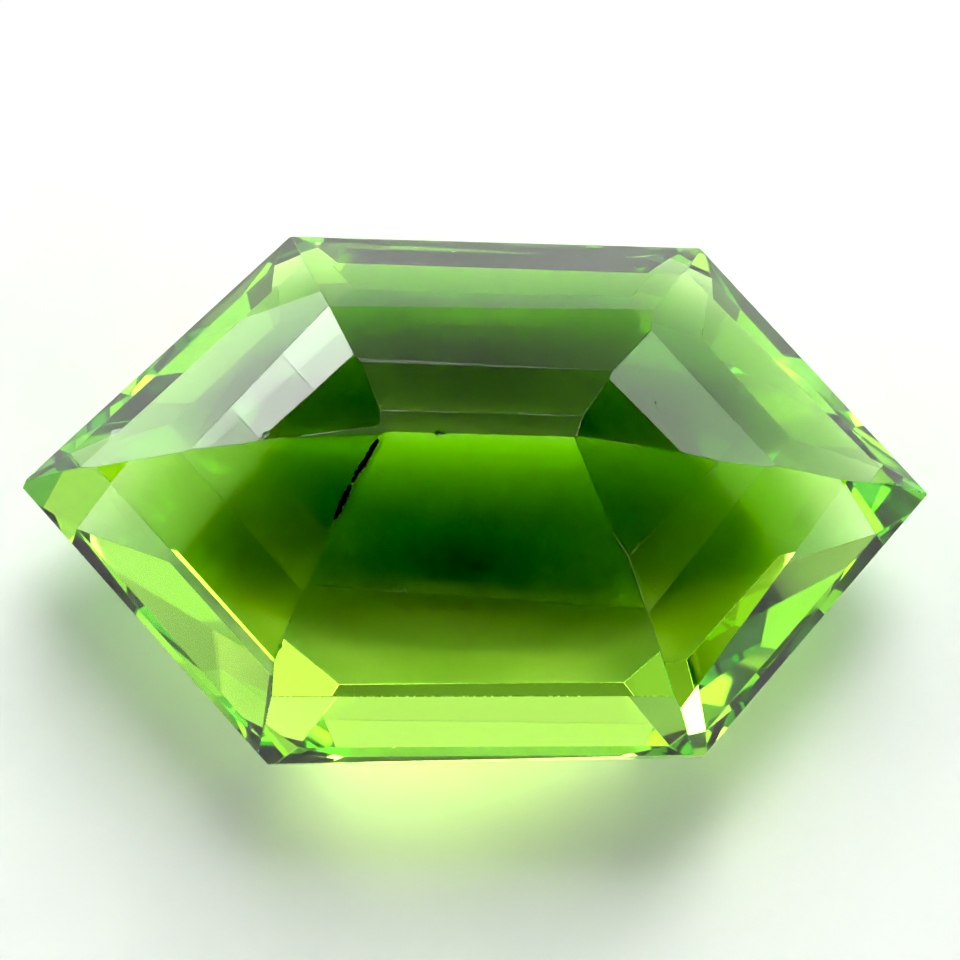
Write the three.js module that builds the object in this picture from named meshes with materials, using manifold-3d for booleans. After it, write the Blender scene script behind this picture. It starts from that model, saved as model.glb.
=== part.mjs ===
// A fancy cut peridot: a long six-sided step cut stone, lying face down on its table with the
// stepped pavilion and its short keel on top. The stone is cut the way a cutter cuts it, one flat
// facet at a time out of a rough block. Millimetres and degrees, +Z up. The origin is on the
// table, under the middle of the stone's length and width. Headings turn anticlockwise from +X.

import * as THREE from 'three';
import { mergeVertices } from 'three/addons/utils/BufferGeometryUtils.js';
import Module from 'manifold-3d';

const wasm = await Module();
wasm.setup();

// Driving dimensions of the whole stone

const ROUGH_LENGTH = 14;
const ROUGH_WIDTH = 9;
const ROUGH_HEIGHT = 7;
const CROWN_HEIGHT = 1.22;
const GIRDLE_HEIGHT = 0.3;

// The six sides of the outline. Each has the heading that it faces, its reach from the middle of
// the stone, and the widths in plan of its pavilion steps from the girdle inwards. Only the back
// has a fifth, narrow facet beside the keel. The stone is cut by hand and a little uneven, so each
// side also has how far each of its facets is turned from the side's heading, and how much
// steeper it is than its row.

const PAVILION_TILTS = [54, 47.5, 37.5, 32, 26.5];

const SIDES = [
  {
    name: 'back', heading: 88.5, reach: 3.5, steps: [0.7, 0.85, 1, 0.7],
    turns: [-0.5, -0.5, -1.25, -1.5, -2], steeper: [0, 0.5, 2, 0.5, 0],
  },
  {
    name: 'left back', heading: 135, reach: 4.3, steps: [0.7, 0.95, 0.85],
    turns: [-0.5, -0.5, -2.25, -2.5], steeper: [0, -0.5, 0.5, 0.5],
  },
  {
    name: 'left front', heading: 222.5, reach: 4.35, steps: [0.9, 0.8, 0.7],
    turns: [-1, -1.5, -1.5, -2.5], steeper: [1, -1, -0.5, -1.5],
  },
  {
    name: 'front', heading: 271, reach: 3.5, steps: [0.7, 1.05, 0.75],
    turns: [-2.25, -2.5, -1.5, -1], steeper: [-0.5, 0.5, 0.5, 1],
  },
  {
    name: 'right front', heading: 318.5, reach: 4.5, steps: [0.65, 1, 0.6],
    turns: [0, -1, -2.5, -2.5], steeper: [-0.5, 0.5, 0.5, 0],
  },
  {
    name: 'right back', heading: 40.5, reach: 4.55, steps: [0.6, 1.25, 1],
    turns: [0, -1, -2, -3], steeper: [-0.5, -1, -2.5, -1],
  },
];

// Crown steps from the girdle down to the table

const CROWN_TILTS = [44.5, 19];
const CROWN_STEP = 0.8;

// Thin flats that take the edge off two ridges at the left end of the keel. Each lies this deep
// below the ridge at the keel, and loses so much of its depth in each millimetre outwards.

const RIDGE_FLATS = [
  { sides: ['left back', 'left front'], depth: 0.022, fade: 0.018 },
  { sides: ['left front', 'front'], depth: 0.009, fade: 0 },
];

const COLOUR = 0x6fb52e;
const ROUGHNESS = 0.03;

const radians = THREE.MathUtils.degToRad;

// The plane of one facet of a side. It faces the side's heading plus a turn, tilts from level,
// and passes through the side's middle line at this reach and height.

function facetPlane(side, { turn = 0, tilt, reach, height, faceDown = false }) {
  const facing = radians(side.heading + turn);
  const lean = Math.sin(radians(tilt));
  const rise = Math.cos(radians(tilt)) * (faceDown ? -1 : 1);
  const normal = new THREE.Vector3(lean * Math.cos(facing), lean * Math.sin(facing), rise);
  const heading = radians(side.heading);
  const point = new THREE.Vector3(reach * Math.cos(heading), reach * Math.sin(heading), height);
  return new THREE.Plane().setFromNormalAndCoplanarPoint(normal, point);
}

// The pavilion facets of one side, from the girdle in to the keel. Each step starts where the
// last one ended.

function pavilionPlanes(side) {
  const planes = [];
  let reach = side.reach;
  let height = CROWN_HEIGHT + GIRDLE_HEIGHT;
  for (let row = 0; row < side.turns.length; row += 1) {
    const turn = side.turns[row];
    const tilt = PAVILION_TILTS[row] + side.steeper[row];
    planes.push(facetPlane(side, { turn, tilt, reach, height }));
    if (row < side.steps.length) {
      const width = side.steps[row];
      reach -= width;
      height += width * Math.tan(radians(tilt)) * Math.cos(radians(turn));
    }
  }
  return planes;
}

// The crown facets of one side, from the girdle down towards the table

function crownPlanes(side) {
  const planes = [];
  let reach = side.reach;
  let height = CROWN_HEIGHT;
  for (const tilt of CROWN_TILTS) {
    planes.push(facetPlane(side, { tilt, reach, height, faceDown: true }));
    reach -= CROWN_STEP;
    height -= CROWN_STEP * Math.tan(radians(tilt));
  }
  return planes;
}

// The plane of a thin flat along the ridge where two facets meet, measured from the point where
// the ridge would reach the top of the stone

function ridgePlane(first, second, top, { depth, fade }) {
  const [a, b] = [first.normal, second.normal];
  const rows = new THREE.Matrix3().set(a.x, a.y, a.z, b.x, b.y, b.z, 0, 0, 1);
  const point = new THREE.Vector3(-first.constant, -second.constant, top);
  point.applyMatrix3(rows.invert());
  const inwards = new THREE.Vector3().crossVectors(a, b).normalize();
  const normal = a.clone().add(b).normalize();
  point.addScaledVector(normal, -depth);
  normal.addScaledVector(inwards, fade).normalize();
  return new THREE.Plane().setFromNormalAndCoplanarPoint(normal, point);
}

function toManifold(geometry) {
  geometry.deleteAttribute('normal');
  geometry.deleteAttribute('uv');
  const merged = mergeVertices(geometry);
  const vertProperties = new Float32Array(merged.getAttribute('position').array);
  const triVerts = new Uint32Array(merged.getIndex().array);
  return new wasm.Manifold(new wasm.Mesh({ numProp: 3, vertProperties, triVerts }));
}

// Grinds one facet: a block bigger than the stone, with one face on the facet's plane, is cut
// away from the stone.

function grind(stone, plane) {
  const size = 2 * ROUGH_LENGTH;
  const block = new THREE.BoxGeometry(size, size, size).translate(0, 0, size / 2);
  const up = new THREE.Vector3(0, 0, 1);
  block.applyQuaternion(new THREE.Quaternion().setFromUnitVectors(up, plane.normal));
  const place = plane.coplanarPoint(new THREE.Vector3());
  block.translate(place.x, place.y, place.z);
  return stone.subtract(toManifold(block));
}

function cutStone() {
  const rough = new THREE.BoxGeometry(ROUGH_LENGTH, ROUGH_WIDTH, ROUGH_HEIGHT);
  let stone = toManifold(rough.translate(0, 0, ROUGH_HEIGHT / 2));
  const pavilion = {};
  for (const side of SIDES) {
    const girdle = facetPlane(side, { tilt: 90, reach: side.reach, height: 0 });
    pavilion[side.name] = pavilionPlanes(side);
    for (const plane of [girdle, ...pavilion[side.name], ...crownPlanes(side)]) {
      stone = grind(stone, plane);
    }
  }
  const top = stone.boundingBox().max[2];
  for (const flat of RIDGE_FLATS) {
    const [first, second] = flat.sides.map((name) => pavilion[name].at(-1));
    stone = grind(stone, ridgePlane(first, second, top, flat));
  }
  return stone;
}

// The stone's surface, with each facet flat and the middle of its box over the origin

function toGeometry(stone) {
  const { vertProperties, triVerts } = stone.getMesh();
  const indexed = new THREE.BufferGeometry();
  indexed.setAttribute('position', new THREE.BufferAttribute(vertProperties, 3));
  indexed.setIndex(new THREE.BufferAttribute(triVerts, 1));
  indexed.computeBoundingBox();
  const middle = indexed.boundingBox.getCenter(new THREE.Vector3());
  indexed.translate(-middle.x, -middle.y, 0);
  const geometry = indexed.toNonIndexed();
  geometry.computeVertexNormals();
  return geometry;
}

const peridot = new THREE.Mesh(
  toGeometry(cutStone()),
  new THREE.MeshStandardMaterial({ color: COLOUR, roughness: ROUGHNESS, metalness: 0 }),
);
peridot.name = 'peridot';

const model = new THREE.Group();
model.add(peridot);

export default model;
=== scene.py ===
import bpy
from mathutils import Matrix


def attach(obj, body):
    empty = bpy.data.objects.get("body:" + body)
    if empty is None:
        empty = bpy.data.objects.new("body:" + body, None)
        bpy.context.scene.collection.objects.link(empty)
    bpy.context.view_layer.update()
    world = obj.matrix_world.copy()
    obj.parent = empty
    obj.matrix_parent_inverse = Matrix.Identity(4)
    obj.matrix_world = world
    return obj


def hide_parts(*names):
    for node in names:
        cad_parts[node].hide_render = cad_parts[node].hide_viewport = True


bl_info = {
    "name": "Fancy Cut Peridot",
    "version": (1, 0, 0),
    "blender": (4, 5, 0),
    "location": "View3D > Sidebar > Peridot",
    "description": "Finishes a long step cut peridot with worn edges, small chips and clear green stone",
    "category": "Add Mesh",
}

import math
import random

import bmesh
import bpy
from bpy.props import FloatProperty, FloatVectorProperty, IntProperty, PointerProperty
from bpy.types import Operator, Panel, PropertyGroup
from mathutils import Matrix, Vector, noise

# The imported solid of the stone, in metres, with its table on the ground plane

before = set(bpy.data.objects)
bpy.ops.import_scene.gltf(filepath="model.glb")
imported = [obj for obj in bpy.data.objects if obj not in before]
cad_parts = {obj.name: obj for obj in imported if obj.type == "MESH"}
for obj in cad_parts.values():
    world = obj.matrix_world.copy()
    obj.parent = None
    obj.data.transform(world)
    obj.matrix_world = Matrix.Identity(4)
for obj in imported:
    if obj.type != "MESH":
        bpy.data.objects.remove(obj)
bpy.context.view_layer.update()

MM = 0.001
NODE = "peridot"


class StoneSettings(PropertyGroup):
    """Sizes of the wear on the stone"""

    edge_width: FloatProperty(
        name="Worn edge width",
        description="Typical width of the thin flat that wear has left on a facet edge",
        default=0.008 * MM,
        min=0.0,
        subtype="DISTANCE",
        unit="LENGTH",
    )
    chip_count: IntProperty(
        name="Edge chips",
        description="How many small chips lie along the facet edges",
        default=40,
        min=0,
    )
    chip_size: FloatProperty(
        name="Chip size",
        description="Typical half length of an edge chip",
        default=0.03 * MM,
        min=0.0,
        subtype="DISTANCE",
        unit="LENGTH",
    )
    nick_width: FloatProperty(
        name="Ridge nick width",
        description="Width of the ragged nicks on the ridge at the left end of the keel",
        default=0.07 * MM,
        min=0.0,
        subtype="DISTANCE",
        unit="LENGTH",
    )
    seed: IntProperty(
        name="Wear seed",
        description="Start of the random draws that place the wear",
        default=11,
    )


class FinishSettings(PropertyGroup):
    """Colour, clearness and polish of the stone"""

    body_colour: FloatVectorProperty(
        name="Body colour",
        description="Colour that the stone lets through",
        subtype="COLOR",
        size=3,
        default=(0.76, 0.972, 0.1),
        min=0.0,
        max=1.0,
    )
    depth_of_colour: FloatProperty(
        name="Depth of colour",
        description="How strongly a metre of the stone absorbs light",
        default=360.0,
        min=0.0,
    )
    refraction: FloatProperty(
        name="Refractive index",
        description="Refractive index of peridot",
        default=1.67,
        min=1.0,
        max=2.5,
    )
    polish: FloatProperty(
        name="Polish roughness",
        description="Roughness of a well polished facet",
        default=0.008,
        min=0.0,
        max=1.0,
    )
    # painted shade: a near-black colour that is painted on the ridge nicks
    nick_shade_colour: FloatVectorProperty(
        name="Nick shade colour",
        description="Near-black colour painted on the ridge nicks as painted shade",
        subtype="COLOR",
        size=3,
        default=(0.012, 0.016, 0.006),
        min=0.0,
        max=1.0,
    )
    wear: FloatProperty(
        name="Wear roughness",
        description="Roughness of worn edges and chips",
        default=0.22,
        min=0.0,
        max=1.0,
    )


class StageSettings(PropertyGroup):
    """The floor and the light"""

    floor_radius: FloatProperty(
        name="Floor radius",
        description="Radius of the round floor. It ends where the lights no longer reach",
        default=155 * MM,
        min=0.0,
        subtype="DISTANCE",
        unit="LENGTH",
    )
    floor_gap: FloatProperty(
        name="Air under the table",
        description="Thin film of air between the floor and the stone",
        default=0.02 * MM,
        min=0.0,
        subtype="DISTANCE",
        unit="LENGTH",
    )
    floor_colour: FloatVectorProperty(
        name="Floor colour",
        description="Colour of the plain floor",
        subtype="COLOR",
        size=3,
        default=(0.95, 0.95, 0.95),
        min=0.0,
        max=1.0,
    )
    light: FloatProperty(
        name="Light",
        description="Brightness of all the soft lights",
        default=1.2,
        min=0.0,
    )


# The stone's mesh. It is worked in millimetres, and scaled to metres at the end. Faces that turn
# less than FLAT_TURN from each other are one facet.

ROUGH_SIZE = 40.0
SAME_POINT = 0.0002
FLAT_TURN = math.radians(0.3)
SMALLEST_TURN = math.radians(1.0)
SMALLEST_EDGE = 0.02
SMALLEST_FACET = 0.02


def join_flat_faces(mesh):
    bmesh.ops.remove_doubles(mesh, verts=mesh.verts, dist=SAME_POINT)
    bmesh.ops.dissolve_limit(mesh, angle_limit=FLAT_TURN, verts=mesh.verts, edges=mesh.edges)
    mesh.normal_update()


def solid_facets(node):
    """The planes of the flat facets of a CAD node in millimetres: outward normal and distance."""
    mesh = bmesh.new()
    mesh.from_mesh(node.data)
    bmesh.ops.scale(mesh, vec=(1 / MM,) * 3, verts=mesh.verts)
    join_flat_faces(mesh)
    facets = [
        (face.normal.copy(), face.normal.dot(face.verts[0].co))
        for face in mesh.faces
        if face.calc_area() > SMALLEST_FACET
    ]
    mesh.free()
    return facets


def facet_edges(mesh):
    """Each edge between two facets: its two ends, its outward direction and its angle."""
    edges = []
    for edge in mesh.edges:
        if len(edge.link_faces) != 2:
            continue
        first, second = (face.normal for face in edge.link_faces)
        angle = first.angle(second)
        if angle > SMALLEST_TURN and edge.calc_length() > SMALLEST_EDGE:
            ends = [vert.co.copy() for vert in edge.verts]
            edges.append((*ends, (first + second).normalized(), angle))
    return edges


def edge_flats(edges, width, rng):
    """A plane that takes off every edge and leaves a thin flat, wider on some than on others."""
    flats = []
    for start, end, outward, angle in edges:
        flat = width * rng.uniform(0.5, 1.7)
        depth = flat / 2 * math.tan(angle / 2)
        flats.append((outward, outward.dot((start + end) / 2) - depth))
    return flats


def clip(polygon, normal, distance):
    """The part of a polygon that lies inside a plane."""
    kept = []
    for start, end in zip(polygon, polygon[1:] + polygon[:1]):
        before, after = (point.dot(normal) - distance for point in (start, end))
        if before <= 0:
            kept.append(start)
        if before * after < 0:
            kept.append(start.lerp(end, before / (before - after)))
    return kept


def cut_solid(planes):
    """The closed solid inside all of the planes, with one face for each."""
    mesh = bmesh.new()
    for plane in planes:
        # a large square on the plane, clipped by all the others
        normal, distance = plane
        along = normal.orthogonal().normalized() * ROUGH_SIZE
        across = normal.cross(along)
        middle = normal * distance
        polygon = [middle + along, middle + across, middle - along, middle - across]
        for other in planes:
            if other is not plane:
                polygon = clip(polygon, *other)
        for point in polygon:
            mesh.verts.new(point)
    bmesh.ops.remove_doubles(mesh, verts=mesh.verts, dist=SAME_POINT)
    bmesh.ops.convex_hull(mesh, input=mesh.verts)
    bmesh.ops.delete(mesh, geom=[vert for vert in mesh.verts if not vert.link_faces], context="VERTS")
    join_flat_faces(mesh)
    if not all(edge.is_manifold for edge in mesh.edges):
        raise RuntimeError("The cut stone is not closed")
    return mesh


def shell_break(mesh, centre, along, outward, size, rng):
    """Adds a rough pebble that cuts one shell-shaped break. Its size is along, across and deep."""
    across = outward.cross(along).normalized()
    along = across.cross(outward)
    turn = Matrix((along, across, outward)).transposed().to_4x4()
    shape = Matrix.Translation(centre) @ turn @ Matrix.Diagonal((*size, 1))
    made = bmesh.ops.create_icosphere(mesh, subdivisions=3, radius=1)
    seed = Vector([rng.uniform(0, 50) for _ in range(3)])
    for vert in made["verts"]:
        lumps = 0.16 * noise.noise(vert.co * 1.6 + seed) + 0.05 * noise.noise(vert.co * 5 + seed)
        ripples = 0.012 * math.sin(22 * (vert.co - Vector((0.6, 0, 0.5))).length)
        vert.co = shape @ (vert.co * (1 + lumps + ripples))


def edge_chips(cutters, edges, count, size, rng):
    """Places small breaks along the facet edges, more on long and sharp ones."""
    weights = [(end - start).length * math.sin(angle / 2) for start, end, _, angle in edges]
    for start, end, outward, _ in rng.choices(edges, weights, k=count):
        along = (end - start).normalized()
        place = start.lerp(end, rng.uniform(0.04, 0.96))
        length = size * rng.lognormvariate(0, 0.45)
        wide = length * rng.uniform(0.45, 0.8)
        deep = wide * rng.uniform(0.5, 0.8)
        sunk = deep * rng.uniform(0.35, 0.6)
        shell_break(cutters, place + outward * (deep - sunk), along, outward, (length, wide, deep), rng)


# The ridge at the left end of the keel is nicked along two stretches, from and to these points in
# millimetres. The facet in front of it stays whole, so the nicks eat into the left one, which has
# this outward direction.

NICKED_STRETCHES = (
    (Vector((-1.115, -0.125, 4.760)), Vector((-1.395, -0.515, 4.500))),
    (Vector((-1.445, -0.600, 4.440)), Vector((-1.610, -0.900, 4.250))),
)
NICK_STEP = 0.045
NICK_REACH = 0.07
LEFT_FACET_OUT = Vector((-0.44, -0.30, 0.85)).normalized()


def ridge_nicks(cutters, width, rng):
    """Places a ragged row of breaks along the nicked ridge."""
    for start, end in NICKED_STRETCHES:
        along = (end - start).normalized()
        steps = round((end - start).length / NICK_STEP)
        for step in range(steps + 1):
            place = start.lerp(end, step / steps)
            taper = 0.55 + 0.45 * math.sin(math.pi * (step + 0.5) / (steps + 1))
            wide = width / 2 * taper * rng.uniform(0.8, 1.25)
            sideways = LEFT_FACET_OUT.cross(along).normalized() * rng.uniform(-0.1, 0.1) * width
            size = (NICK_STEP * rng.uniform(0.8, 1.3), wide, wide * 0.7)
            centre = place + sideways + LEFT_FACET_OUT * wide * 0.2
            shell_break(cutters, centre, along, LEFT_FACET_OUT, size, rng)


# Small pits in the facets: place in millimetres and radius

PITS = (
    (Vector((2.202, 0.529, 4.093)), 0.022),
    (Vector((2.010, 0.922, 4.027)), 0.016),
    (Vector((-1.808, -0.931, 4.160)), 0.014),
    (Vector((1.963, -1.912, 3.518)), 0.015),
    (Vector((2.176, -1.671, 3.606)), 0.012),
    (Vector((0.547, 0.265, 4.663)), 0.011),
    (Vector((-0.504, 0.254, 4.705)), 0.008),
)


def facet_pits(cutters, rng):
    """Places the pits, each a little uneven and sunk into its facet."""
    for place, radius in PITS:
        size = [radius * rng.uniform(0.75, 1.25) for _ in range(3)]
        along = Vector((rng.uniform(-1, 1), rng.uniform(-1, 1), 0)).normalized()
        shell_break(cutters, place + Vector((0, 0, 0.4 * radius)), along, Vector((0, 0, 1)), size, rng)


def link(name, mesh):
    """Turns a finished mesh into an object of the scene."""
    data = bpy.data.meshes.new(name)
    mesh.to_mesh(data)
    mesh.free()
    piece = bpy.data.objects.new(name, data)
    bpy.context.scene.collection.objects.link(piece)
    return piece


def carve(piece, cutters):
    """Cuts the breaks out of a piece, and deletes the pebbles that cut them."""
    cutter = link("breaks", cutters)
    cut = piece.modifiers.new("breaks", "BOOLEAN")
    cut.operation, cut.solver, cut.use_self, cut.object = "DIFFERENCE", "EXACT", True, cutter
    bpy.context.view_layer.update()
    shown = piece.evaluated_get(bpy.context.evaluated_depsgraph_get())
    carved = bpy.data.meshes.new_from_object(shown)
    piece.modifiers.clear()
    piece.data = carved
    bpy.data.objects.remove(cutter)


def lies_in_nick(place):
    for start, end in NICKED_STRETCHES:
        along = end - start
        share = min(max((place - start).dot(along) / along.length_squared, 0), 1)
        if (place - start.lerp(end, share)).length < NICK_REACH:
            return True
    return False


# A face is a part of a facet if it lies this near the facet's plane, and the cosine of the angle
# between the two is above SAME_WAY

SAME_PLANE = 0.002
SAME_WAY = 0.99999


def mark_finish(piece, facets, rng):
    """Marks what is worn, the nick faces that get painted shade, and the way in which each facet was
    polished.
    """
    data = piece.data
    kinds = {"worn": "FLOAT", "painted_nick_shade": "FLOAT", "polished_across": "FLOAT_VECTOR"}
    for name, kind in kinds.items():
        data.attributes.new(name, kind, "FACE")
    worn, painted_nick_shade, polished_across = (data.attributes[name].data for name in kinds)
    lines = []
    for normal, _ in facets:
        along = normal.orthogonal().normalized()
        along.rotate(Matrix.Rotation(rng.uniform(0, math.pi), 3, normal))
        lines.append(along)
    for face in data.polygons:
        facet = None
        for index, (normal, distance) in enumerate(facets):
            off_plane = abs(face.center.dot(normal) - distance)
            if face.normal.dot(normal) > SAME_WAY and off_plane < SAME_PLANE:
                facet = index
        face.use_smooth = facet is None
        if facet is None:
            worn[face.index].value = 1.0
            # faces in the ridge nicks are marked for painted shade
            painted_nick_shade[face.index].value = float(lies_in_nick(face.center))
        else:
            polished_across[face.index].vector = lines[facet]


# The materials


class Nodes:
    """Adds nodes to a material or a world, and links them."""

    def __init__(self, owner):
        owner.use_nodes = True
        self.tree = owner.node_tree
        self.tree.nodes.clear()

    def add(self, kind, inputs=(), **settings):
        node = self.tree.nodes.new("ShaderNode" + kind)
        for name, value in settings.items():
            setattr(node, name, value)
        for name, value in dict(inputs).items():
            if isinstance(value, bpy.types.NodeSocket):
                self.tree.links.new(value, node.inputs[name])
            else:
                node.inputs[name].default_value = value
        return node

    def attribute(self, name):
        return self.add("Attribute", attribute_name=name)

    def math(self, operation, *values):
        return self.add("Math", enumerate(values), operation=operation).outputs[0]

    def noise(self, place, scale, detail):
        inputs = {"Vector": place, "Scale": scale, "Detail": detail}
        return self.add("TexNoise", inputs).outputs["Fac"]

    def bump(self, pattern, height, strength=1.0, under=None):
        """Raises a pattern, on top of the bumps that are under it."""
        inputs = {"Strength": strength, "Distance": height, "Height": pattern}
        if under is not None:
            inputs["Normal"] = under
        return self.add("Bump", inputs).outputs["Normal"]

    def ramp(self, value, low, high, to_low, to_high):
        """Goes smoothly from to_low to to_high while the value goes from low to high."""
        names = ("Value", "From Min", "From Max", "To Min", "To Max")
        ranged = dict(zip(names, (value, low, high, to_low, to_high)))
        return self.add("MapRange", ranged, interpolation_type="SMOOTHSTEP").outputs["Result"]


# Fineness of the surface patterns, in noise cells to the metre

POLISH_LINES = 26000.0
SMEARS = 900.0
DUST = 30000.0
WAVES = 420.0
FLOOR_TOOTH = 9000.0

# Heights of the bumps

POLISH_LINE_HEIGHT = 0.00002 * MM
WAVE_HEIGHT = 0.0005 * MM
WORN_GRAIN_HEIGHT = 0.002 * MM
FLOOR_TOOTH_HEIGHT = 0.004 * MM

# How far light spreads inside the floor

FLOOR_GLOW_REACH = 0.38 * MM


def peridot_material(finish):
    """Clear green stone: transmission, refraction and absorption, with polish lines and wear."""
    material = bpy.data.materials.new("clear_peridot")
    make = Nodes(material)
    place = make.add("TexCoord").outputs["Object"]
    worn = make.attribute("worn").outputs["Fac"]
    across = make.attribute("polished_across").outputs["Vector"]

    # fine lines that the polishing lap left, in each facet's own direction
    offset = make.add("VectorMath", {0: place, 1: across}, operation="DOT_PRODUCT").outputs["Value"]
    lines = make.add(
        "TexNoise", {"W": offset, "Scale": POLISH_LINES, "Detail": 3.0}, noise_dimensions="1D"
    ).outputs["Fac"]
    # broad smears and fine dust
    smears = make.noise(place, SMEARS, 4.0)
    dust = make.noise(place, DUST, 2.0)
    specks = make.ramp(dust, 0.70, 0.76, 0.0, 0.12)
    dulled = make.ramp(smears, 0.45, 0.75, finish.polish, finish.polish * 4)
    polish = make.math("ADD", dulled, specks)
    ground = make.ramp(dust, 0.3, 0.7, finish.wear * 0.7, finish.wear * 1.4)
    rough = make.add("Mix", {"Factor": worn, 2: polish, 3: ground}).outputs[0]

    # the facets are a little wavy, with the polish lines on top, and grainy where they are worn
    wavy = make.bump(make.noise(place, WAVES, 1.0), WAVE_HEIGHT)
    lined = make.bump(lines, POLISH_LINE_HEIGHT, under=wavy)
    grained = make.bump(make.math("MULTIPLY", dust, worn), WORN_GRAIN_HEIGHT, under=lined)

    surface = make.add(
        "BsdfPrincipled",
        {
            "Base Color": (1, 1, 1, 1),
            "Roughness": rough,
            "IOR": finish.refraction,
            "Transmission Weight": 1.0,
            "Normal": grained,
        },
    )
    # painted shade: the nick faces are painted near-black, so the nicks look dark
    nick_shade_bsdf = make.add("BsdfPrincipled", {"Base Color": (*finish.nick_shade_colour, 1), "Roughness": 0.7})
    painted_nick_shade = make.attribute("painted_nick_shade").outputs["Fac"]
    finished = make.add("MixShader", {0: painted_nick_shade, 1: surface.outputs[0], 2: nick_shade_bsdf.outputs[0]})
    volume = make.add(
        "VolumeAbsorption", {"Color": (*finish.body_colour, 1), "Density": finish.depth_of_colour}
    )
    make.add(
        "OutputMaterial",
        {"Surface": finished.outputs[0], "Volume": volume.outputs["Volume"]},
    )
    return material


def floor_material(colour):
    """Pale matt card with a faint tooth. Light spreads a little way inside it."""
    material = bpy.data.materials.new("pale_floor")
    make = Nodes(material)
    tooth = make.noise(make.add("TexCoord").outputs["Object"], FLOOR_TOOTH, 3.0)
    surface = make.add(
        "BsdfPrincipled",
        {
            "Base Color": (*colour, 1),
            "Roughness": 0.9,
            "Specular IOR Level": 0.0,
            "Subsurface Weight": 1.0,
            "Subsurface Radius": (FLOOR_GLOW_REACH,) * 3,
            "Subsurface Scale": 1.0,
            "Normal": make.bump(tooth, FLOOR_TOOTH_HEIGHT, strength=0.15),
        },
        subsurface_method="BURLEY",
    )
    make.add("OutputMaterial", {"Surface": surface.outputs["BSDF"]})
    return material


class PERIDOT_OT_stone(Operator):
    """Make the cut stone, with its worn edges and small breaks, in place of the plain solid"""

    bl_idname = "peridot.stone"
    bl_label = "Cut stone"

    def execute(self, context):
        settings = context.scene.peridot_stone
        rng = random.Random(settings.seed)
        facets = solid_facets(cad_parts[NODE])
        edges = facet_edges(cut_solid(facets))
        mesh = cut_solid(facets + edge_flats(edges, settings.edge_width / MM, rng))
        cutters = bmesh.new()
        edge_chips(cutters, edges, settings.chip_count, settings.chip_size / MM, rng)
        ridge_nicks(cutters, settings.nick_width / MM, rng)
        facet_pits(cutters, rng)
        stone = link("cut_peridot", mesh)
        carve(stone, cutters)
        mark_finish(stone, facets, rng)
        stone.data.transform(Matrix.Scale(MM, 4))
        stone.data.materials.clear()
        stone.data.materials.append(peridot_material(context.scene.peridot_finish))
        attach(stone, "root")
        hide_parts(NODE)
        return {"FINISHED"}


# The camera, and the deep blacks of the view

CAMERA_AT = Vector((0.08, -5.77, 27.30)) * MM
CAMERA_LOOKS_AT = Vector((0.08, 0.16, 1.55)) * MM
CAMERA_LENS = 75.0
CAMERA_NEAR = 0.001
CAMERA_FAR = 10.0
BLACK_LEVEL = (0.021, 0.034, 0.02)

# Soft lights: name, middle, the point that it faces, width and height in millimetres, and brightness

SOFT_LIGHTS = (
    ("behind", (20, 113, 96), (0, 0, 2), (82, 80), 9.4),
    ("behind_low", (0, 145, 38), (0, 0, 2), (80, 22), 0.58),
    ("left", (-134, 49, 48), (0, 0, 2), (163, 34), 4.8),
    ("front_right", (79, -113, 60), (0, 0, 2), (73, 61), 2.2),
    ("front_left", (-91, -71, 96), (0, 0, 2), (42, 26), 1.0),
    ("right", (138, 24, 52), (0, 0, 2), (139, 54), 2.2),
    ("window_right", (80, 110, 65), (0, 0, 2), (37, 24), 0.8),
    ("window_left", (-67, 124, 51), (0, 0, 2), (12, 15), 10.0),
    ("low_right", (42.3, 42.4, 10.3), (0, 0, 4), (11, 5.5), 2.0),
    ("on_floor_left", (-11.5, 11.5, 0.05), (-11.5, 11.5, 9), (9.5, 17), 1.3),
    ("low_front", (51, -140, 15), (0, 0, 2), (32, 16), 1.2),
    ("window_low", (-14.3, -6.9, 0.9), (-4.3, 0.37, 0.5), (1.6, 1.0), 2.6),
)

# Lights that shine through the stone and aren't mirrored on its facets

NOT_MIRRORED = ("behind_low", "front_left")

# A low light behind the left end of the stone, which fades towards the left. It is made of strips
# side by side, each with its width and brightness. They face a line that begins at this point, from
# this far away in this heading, which turns anticlockwise from +X.

FADING_STRIPS = ((5.0, 5.8), (3.0, 4.8), (2.5, 3.3), (3.5, 1.9))
FADING_HEADING = math.radians(126)
FADING_AWAY = 50.0
FADING_BEGINS = Vector((-2.64, 10.44, 2.3))
FADING_HEIGHT = 4.6
STRIP_GAP = 0.02

# Cards that only the stone mirrors, in place of the far floor: name, middle, the point that it
# faces, width and height in millimetres, and grey

CARDS = (
    ("card_right_front", (18, -8.5, 1.7), (0, 0, 1.7), (14, 3.4), 0.03),
    ("card_left_front", (-18, -8.5, 1.9), (0, 0, 1.9), (12, 3.8), 0.03),
    ("card_behind", (1, 25, 1.0), (1, 0, 1.0), (20, 2.0), 0.6),
)

# The tent round the stone: its brightness and colour, how far its dark opening leans to the front,
# and where the opening begins and is fully dark. A place on the tent is given by how far up, or to
# the back, the unit vector that points to it reaches.

TENT_BRIGHTNESS = 0.6
TENT_COLOUR = (0.78, 1.0, 0.72)
TENT_LEAN = 0.4
OPENING = (0.52, 0.70)

# The tent's walls, and the low band below them: two places, and the brightness at each

WALLS_TO_BACK = (-0.7, -0.2, 0.6, 1.0)
WALLS_UPWARDS = (0.27, 0.45, 0.0, 1.0)
BAND_UPWARDS = (0.26, 0.34, 1.0, 0.0)
BAND_FRONT = (-0.5, -0.3, 0.45, 1.1)
BAND_BACK = (0.4, 0.62, 1.1, 0.1)
BAND_MIDDLE = (0.88, 0.96, 0.0, 0.6)

BACKGROUND = 0.9


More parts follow.
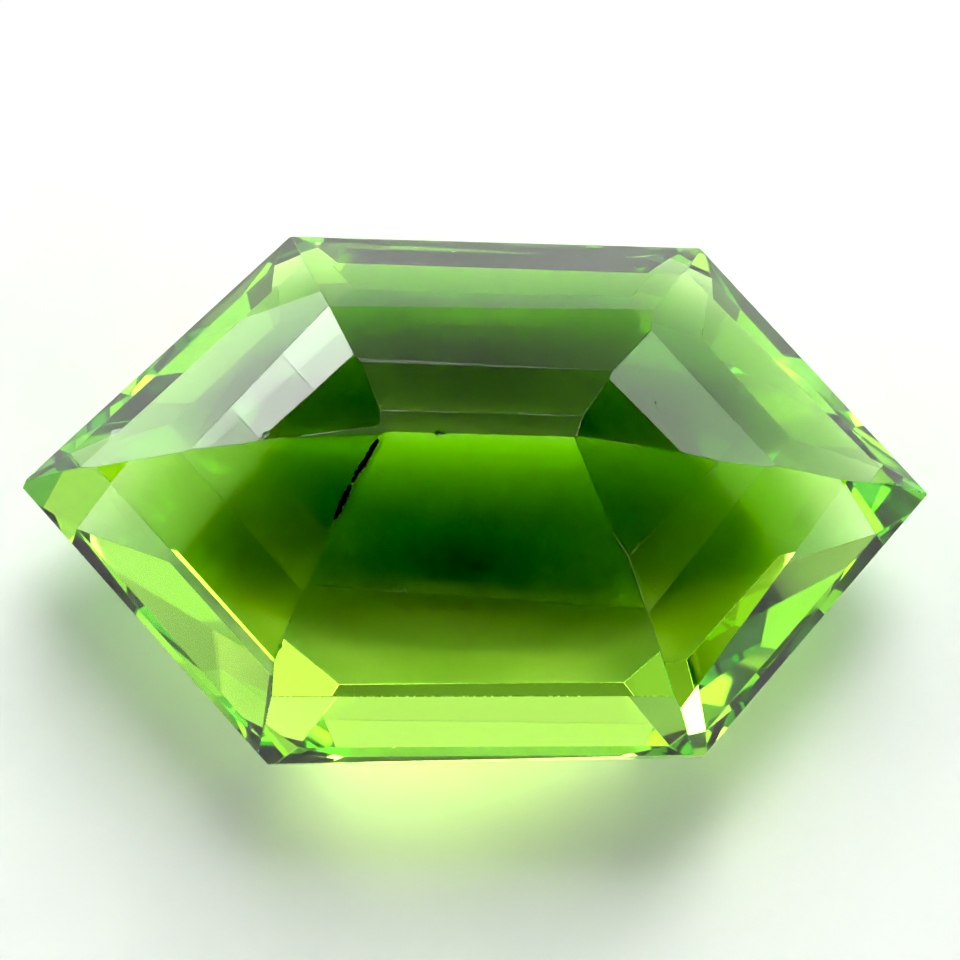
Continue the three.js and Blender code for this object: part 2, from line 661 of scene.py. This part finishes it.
def fading_strips():
    """The strips of the fading light, as rows like those of the soft lights."""
    away = Vector((math.cos(FADING_HEADING), math.sin(FADING_HEADING), 0))
    along = Vector((0, 0, 1)).cross(away)
    rows = []
    reached = 0.0
    for index, (width, brightness) in enumerate(FADING_STRIPS):
        faces = FADING_BEGINS + along * (reached + width / 2)
        size = (width - STRIP_GAP, FADING_HEIGHT)
        rows.append((f"low_left_{index + 1}", faces + away * FADING_AWAY, faces, size, brightness))
        reached += width
    return rows


def place_facing(thing, place, faces, front="-Z"):
    """Puts an object at a place, with its front towards a point. Lights and cameras look along -Z."""
    thing.location = place
    thing.rotation_mode = "QUATERNION"
    thing.rotation_quaternion = (faces - place).to_track_quat(front, "Y")


def soft_light(name, place, faces, size, brightness):
    """A rectangular soft light. Its brightness is that of a white floor under one unit of light."""
    data = bpy.data.lights.new(name, "AREA")
    data.shape = "RECTANGLE"
    data.size, data.size_y = (side * MM for side in size)
    data.energy = brightness * math.pi * data.size * data.size_y
    light = bpy.data.objects.new(name, data)
    bpy.context.scene.collection.objects.link(light)
    place_facing(light, Vector(place) * MM, Vector(faces) * MM)
    light.visible_camera = False
    light.visible_glossy = name not in NOT_MIRRORED


def card(name, place, faces, size, grey):
    """An upright matt card. It throws no shadow and only shows in the stone."""
    mesh = bmesh.new()
    bmesh.ops.create_grid(mesh, x_segments=1, y_segments=1, size=0.5)
    bmesh.ops.scale(mesh, vec=(size[0] * MM, size[1] * MM, 1), verts=mesh.verts)
    board = link(name, mesh)
    place_facing(board, Vector(place) * MM, Vector(faces) * MM, front="Z")
    board.visible_camera = board.visible_diffuse = board.visible_shadow = False
    material = bpy.data.materials.new(name)
    make = Nodes(material)
    matt = make.add("BsdfDiffuse", {"Color": (grey, grey, grey, 1)})
    make.add("OutputMaterial", {"Surface": matt.outputs[0]})
    board.data.materials.append(material)


def light_tent(world, brightness):
    """A pale tent all round the stone. Its wide dark opening leans to the front, over the camera."""
    make = Nodes(world)
    way = make.add("SeparateXYZ", {0: make.add("TexCoord").outputs["Generated"]})
    back, up = way.outputs["Y"], way.outputs["Z"]
    lean = make.math("MULTIPLY_ADD", back, -TENT_LEAN, up)
    opening = make.ramp(lean, *OPENING, brightness, 0.0)
    walls = make.math("MULTIPLY", make.ramp(back, *WALLS_TO_BACK), make.ramp(up, *WALLS_UPWARDS))
    # a low band all round, dimmer in front, and dark at the back but for its middle
    sides = make.math("MINIMUM", make.ramp(back, *BAND_FRONT), make.ramp(back, *BAND_BACK))
    sides = make.math("MAXIMUM", sides, make.ramp(back, *BAND_MIDDLE))
    band = make.math("MULTIPLY", make.ramp(up, *BAND_UPWARDS), sides)
    tent = make.math("MULTIPLY", opening, make.math("ADD", walls, band))
    glow = make.add("Background", {"Color": (*TENT_COLOUR, 1), "Strength": tent})
    # seen directly, it is a plain pale background
    seen = make.add("LightPath").outputs["Is Camera Ray"]
    plain = make.add("Background", {"Color": (1, 1, 1, 1), "Strength": BACKGROUND})
    shown = make.add("MixShader", {0: seen, 1: glow.outputs[0], 2: plain.outputs[0]})
    make.add("OutputWorld", {"Surface": shown.outputs[0]})


def add_floor(settings):
    """A round pale floor, a thin film of air below the stone."""
    mesh = bmesh.new()
    bmesh.ops.create_circle(mesh, cap_ends=True, segments=96, radius=settings.floor_radius)
    floor = link("floor", mesh)
    floor.location.z = -settings.floor_gap
    floor.data.materials.append(floor_material(settings.floor_colour))


def add_camera(scene):
    """A camera above the front of the stone."""
    data = bpy.data.cameras.new("camera")
    data.lens = CAMERA_LENS
    data.clip_start, data.clip_end = CAMERA_NEAR, CAMERA_FAR
    camera = bpy.data.objects.new("camera", data)
    scene.collection.objects.link(camera)
    place_facing(camera, CAMERA_AT, CAMERA_LOOKS_AT)
    scene.camera = camera


def set_view(scene):
    """Sets the deep blacks, and enough bounces for light that crosses the stone many times."""
    scene.view_settings.view_transform = "Standard"
    scene.view_settings.use_curve_mapping = True
    scene.view_settings.curve_mapping.black_level = BLACK_LEVEL
    scene.cycles.blur_glossy = 0.0
    scene.cycles.use_light_tree = False
    scene.cycles.max_bounces = 11
    scene.cycles.diffuse_bounces = 3
    scene.cycles.transmission_bounces = 11
    scene.cycles.glossy_bounces = 8


class PERIDOT_OT_stage(Operator):
    """Make the floor, the lights and cards round the stone, and the camera"""

    bl_idname = "peridot.stage"
    bl_label = "Stage"

    def execute(self, context):
        scene = context.scene
        settings = scene.peridot_stage
        add_floor(settings)
        for *light, brightness in (*SOFT_LIGHTS, *fading_strips()):
            soft_light(*light, brightness * settings.light)
        for row in CARDS:
            card(*row)
        scene.world = bpy.data.worlds.new("light_tent")
        light_tent(scene.world, TENT_BRIGHTNESS * settings.light)
        scene.world.cycles.sampling_method = "NONE"
        add_camera(scene)
        set_view(scene)
        return {"FINISHED"}


class PERIDOT_PT_panel(Panel):
    """Sizes and colours of the stone and its stage, and the buttons that make them"""

    bl_idname = "PERIDOT_PT_panel"
    bl_label = "Peridot"
    bl_space_type = "VIEW_3D"
    bl_region_type = "UI"
    bl_category = "Peridot"

    def draw(self, context):
        layout = self.layout
        for group in GROUPS:
            settings = getattr(context.scene, group)
            column = layout.column()
            for name in settings.__annotations__:
                column.prop(settings, name)
        for operator in OPERATORS:
            layout.operator(operator.bl_idname)


GROUPS = {
    "peridot_stone": StoneSettings,
    "peridot_finish": FinishSettings,
    "peridot_stage": StageSettings,
}
OPERATORS = (PERIDOT_OT_stone, PERIDOT_OT_stage)
CLASSES = (*GROUPS.values(), *OPERATORS, PERIDOT_PT_panel)


def register():
    for cls in CLASSES:
        bpy.utils.register_class(cls)
    for name, cls in GROUPS.items():
        setattr(bpy.types.Scene, name, PointerProperty(type=cls))


def unregister():
    for name in GROUPS:
        delattr(bpy.types.Scene, name)
    for cls in reversed(CLASSES):
        bpy.utils.unregister_class(cls)


def main():
    register()
    bpy.ops.peridot.stone()
    bpy.ops.peridot.stage()


if __name__ == "__main__":
    main()
